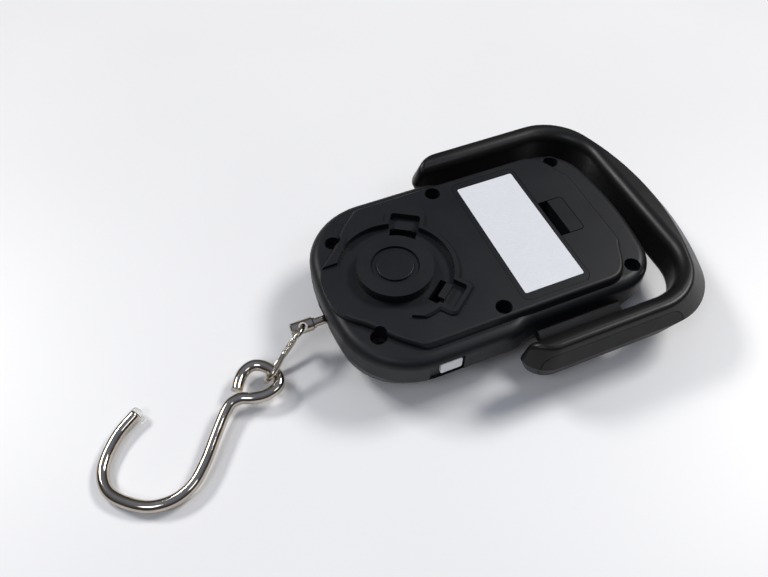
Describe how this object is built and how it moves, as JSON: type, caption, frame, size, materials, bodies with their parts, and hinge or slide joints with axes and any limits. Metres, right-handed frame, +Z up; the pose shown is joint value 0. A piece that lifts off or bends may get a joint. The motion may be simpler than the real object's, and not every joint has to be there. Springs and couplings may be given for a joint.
{
  "type": "digital fish scale",
  "caption": "Hand-held digital hanging scale with a loop handle, a swivelling wire hook on a link, a built-in tape measure and a clip-in battery lid, lying on its display face.",
  "frame": {"origin": "on the resting plane, straight under the axis of the tape reel", "axes": "+X from the hook towards the handle, +Y across the body, +Z up from the display face to the back cover"},
  "size_m": [0.2068, 0.095, 0.0277],
  "materials": {
    "case_black": "fine-grained satin black moulded plastic",
    "key_grey": "satin grey push keys",
    "grip_rubber": "soft dark grey rubber",
    "clear_window": "clear polished window",
    "lcd_glass": "grey-green display glass",
    "inner_rubber": "pale conductive rubber strip",
    "board_green": "green solder mask",
    "chip_black": "moulded black",
    "label_paper": "blank silver-grey label",
    "cell_wrap": "plain cell wrap",
    "contact_steel": "nickel-plated spring steel",
    "beam_aluminium": "milled aluminium",
    "gauge_foil": "foil gauge on amber film",
    "bright_steel": "zinc-plated steel",
    "inner_plastic": "dark moulded plastic",
    "pin_steel": "bright nickel plate",
    "link_steel": "bright nickel plate",
    "hook_chrome": "mirror chrome plate",
    "tip_clear": "clear milky cap",
    "spring_steel": "blued spring steel",
    "wire_cover": "red lead insulation",
    "reel_plastic": "off-white moulded plastic",
    "tape_white": "white enamelled steel tape",
    "tab_white": "white moulded pull tab"
  },
  "bodies": {
    "body": {"front_cover": "case_black", "back_cover": "case_black", "handle": "case_black", "grip_insert_near": "grip_rubber", "grip_insert_far": "grip_rubber", "display_lens": "clear_window", "lcd_panel": "lcd_glass", "lcd_connectors": "inner_rubber", "circuit_board": "board_green", "board_screws": "bright_steel", "chip_blob": "chip_black", "key_switches": "chip_black", "battery_a": "cell_wrap", "battery_b": "cell_wrap", "contact_plates": "contact_steel", "contact_springs": "contact_steel", "load_cell": "beam_aluminium", "cell_screws": "bright_steel", "strain_gauges": "gauge_foil", "pull_bracket": "bright_steel", "bracket_screws": "bright_steel", "shaft_bush": "inner_plastic", "tape_spring": "spring_steel", "tape_screws": "bright_steel", "gauge_wires": "wire_cover", "battery_wires": "wire_cover", "case_screws": "bright_steel", "tape_base": "inner_plastic", "button_spring": "spring_steel"},
    "lid": {"battery_lid": "case_black", "lid_label": "label_paper"},
    "shaft": {"hook_shaft": "pin_steel", "shaft_washer": "bright_steel", "shaft_nut": "bright_steel"},
    "link_body": {"link": "link_steel"},
    "hook_body": {"s_hook": "hook_chrome", "hook_tip_cap": "tip_clear"},
    "tape_end": {"tape_blade": "tape_white", "tape_end_tab": "tab_white"},
    "reel": {"tape_reel": "reel_plastic", "tape_coil": "tape_white"},
    "button": {"tape_button": "case_black"},
    "key_units": {"units_key": "key_grey"},
    "key_power": {"power_key": "key_grey"},
    "key_hold": {"hold_key": "key_grey"}
  },
  "joints": [
    {"name": "shaft_swivel", "type": "hinge", "parent": "body", "child": "shaft", "pos_m": [-0.0225, 0, 0.0115], "axis": [1, 0, 0], "continuous": true},
    {"name": "link_swing", "type": "hinge", "parent": "shaft", "child": "link_body", "pos_m": [-0.0324, 0, 0.0115], "axis": [0, -0.6004, 0.7997], "range_deg": [-110, 40]},
    {"name": "hook_swing", "type": "hinge", "parent": "link_body", "child": "hook_body", "pos_m": [-0.04562, -0.00817, 0.00509], "axis": [-0.6166, 0.6296, 0.4727], "range_deg": [-80, 80]},
    {"name": "tape_pull", "type": "slide", "parent": "body", "child": "tape_end", "axis": [0, -1, 0], "range_m": [0, 0.028]},
    {"name": "reel_spin", "type": "hinge", "parent": "body", "child": "reel", "pos_m": [0, 0, 0.017], "axis": [0, 0, 1], "range_deg": [-240, 1]},
    {"name": "button_press", "type": "slide", "parent": "body", "child": "button", "axis": [0, 0, -1], "range_m": [0, 0.0015], "stiffness_N_per_m": 400, "springref_m": -0.0008, "deforming": ["button_spring"]},
    {"name": "lid_open", "type": "hinge", "parent": "body", "child": "lid", "pos_m": [0.03185, 0, 0.025], "axis": [0, -1, 0], "range_deg": [0, 35]},
    {"name": "units_press", "type": "slide", "parent": "body", "child": "key_units", "axis": [0, 0, 1], "range_m": [0, 0.0005], "stiffness_N_per_m": 1500, "springref_m": -0.0004},
    {"name": "power_press", "type": "slide", "parent": "body", "child": "key_power", "axis": [0, 0, 1], "range_m": [0, 0.0005], "stiffness_N_per_m": 1500, "springref_m": -0.0004},
    {"name": "hold_press", "type": "slide", "parent": "body", "child": "key_hold", "axis": [0, 0, 1], "range_m": [0, 0.0005], "stiffness_N_per_m": 1500, "springref_m": -0.0004}
  ],
  "couplings": [
    {"joint": "reel_spin", "follows": "tape_pull", "rad_per_m": -144.5}
  ]
}
